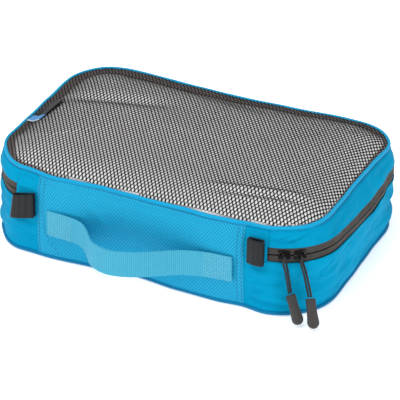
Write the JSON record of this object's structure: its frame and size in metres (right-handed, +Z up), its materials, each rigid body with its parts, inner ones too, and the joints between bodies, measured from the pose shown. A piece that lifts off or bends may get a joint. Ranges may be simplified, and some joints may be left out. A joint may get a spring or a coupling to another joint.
{
  "type": "packing cube",
  "caption": "Soft rectangular packing cube with a mesh lid that unzips on three sides, a webbing carry handle on the front and two cord zipper pulls.",
  "frame": {"origin": "centre of the base panel's underside, on the surface that the cube stands on", "axes": "+X along the length, to the right seen from the front; -Y out of the front face with the handle; +Z up, towards the mesh lid"},
  "size_m": [0.2887, 0.2257, 0.079],
  "materials": {
    "plain_nylon": "satin plain weave",
    "ripstop_nylon": "satin diamond ripstop",
    "piping": "satin folded binding",
    "seam_binding": "matt woven tape",
    "knitted_mesh": "matt open knit",
    "white_liner": "matt",
    "zipper_tape": "matt woven tape",
    "zipper_coil": "satin nylon coil",
    "handle_webbing": "matt ribbed webbing",
    "tab_webbing": "matt ribbed webbing",
    "slider_metal": "black lacquer, semi-gloss",
    "pull_cord": "braided cord",
    "grip_rubber": "moulded, matt",
    "woven_label": "woven label, plain"
  },
  "bodies": {
    "case": {"base_panel": "plain_nylon", "base_piping": "piping", "base_seam_binding": "seam_binding", "side_band_lower": "plain_nylon", "front_panel_lower": "ripstop_nylon", "band_end_left": "plain_nylon", "band_end_right": "plain_nylon", "zipper_tape_lower": "zipper_tape", "zipper_coil_lower": "zipper_coil", "tab_left": "tab_webbing", "tab_right": "tab_webbing", "handle_end_left": "handle_webbing", "handle_end_right": "handle_webbing"},
    "lid": {"mesh_panel": "knitted_mesh", "lid_liner": "white_liner", "side_band_upper": "plain_nylon", "front_panel_upper": "ripstop_nylon", "rim_piping": "piping", "rim_seam_binding": "seam_binding", "zipper_tape_upper": "zipper_tape", "zipper_coil_upper": "zipper_coil", "rim_label": "woven_label"},
    "handle": {"handle_strap": "handle_webbing"},
    "slider_1": {"slider_body_1": "slider_metal", "slider_bail_1": "slider_metal"},
    "slider_2": {"slider_body_2": "slider_metal", "slider_bail_2": "slider_metal"},
    "pull_1": {"pull_cord_1": "pull_cord", "pull_grip_1": "grip_rubber"},
    "pull_2": {"pull_cord_2": "pull_cord", "pull_grip_2": "grip_rubber"}
  },
  "joints": [
    {"name": "lid_fold", "type": "hinge", "parent": "case", "child": "lid", "pos_m": [0, -0.0936, 0.0626], "axis": [1, 0, 0], "range_deg": [0, 95]},
    {"name": "handle_swing", "type": "hinge", "parent": "case", "child": "handle", "pos_m": [0, -0.0969, 0.041], "axis": [-1, 0, 0], "range_deg": [-20, 45]},
    {"name": "slider_1_travel", "type": "hinge", "parent": "case", "child": "slider_1", "pos_m": [0.096, -0.0515, 0.0495], "axis": [0, 0, 1], "range_deg": [-8, 0]},
    {"name": "slider_2_travel", "type": "hinge", "parent": "case", "child": "slider_2", "pos_m": [0.096, -0.0515, 0.0495], "axis": [0, 0, 1], "range_deg": [0, 45]},
    {"name": "pull_1_swing", "type": "hinge", "parent": "slider_1", "child": "pull_1", "pos_m": [0.11774, -0.09608, 0.0495], "axis": [-0.8988, -0.4384, 0], "range_deg": [-5, 110]},
    {"name": "pull_2_swing", "type": "hinge", "parent": "slider_2", "child": "pull_2", "pos_m": [0.12788, -0.0895, 0.0495], "axis": [-0.766, -0.6428, 0], "range_deg": [-5, 110]}
  ]
}
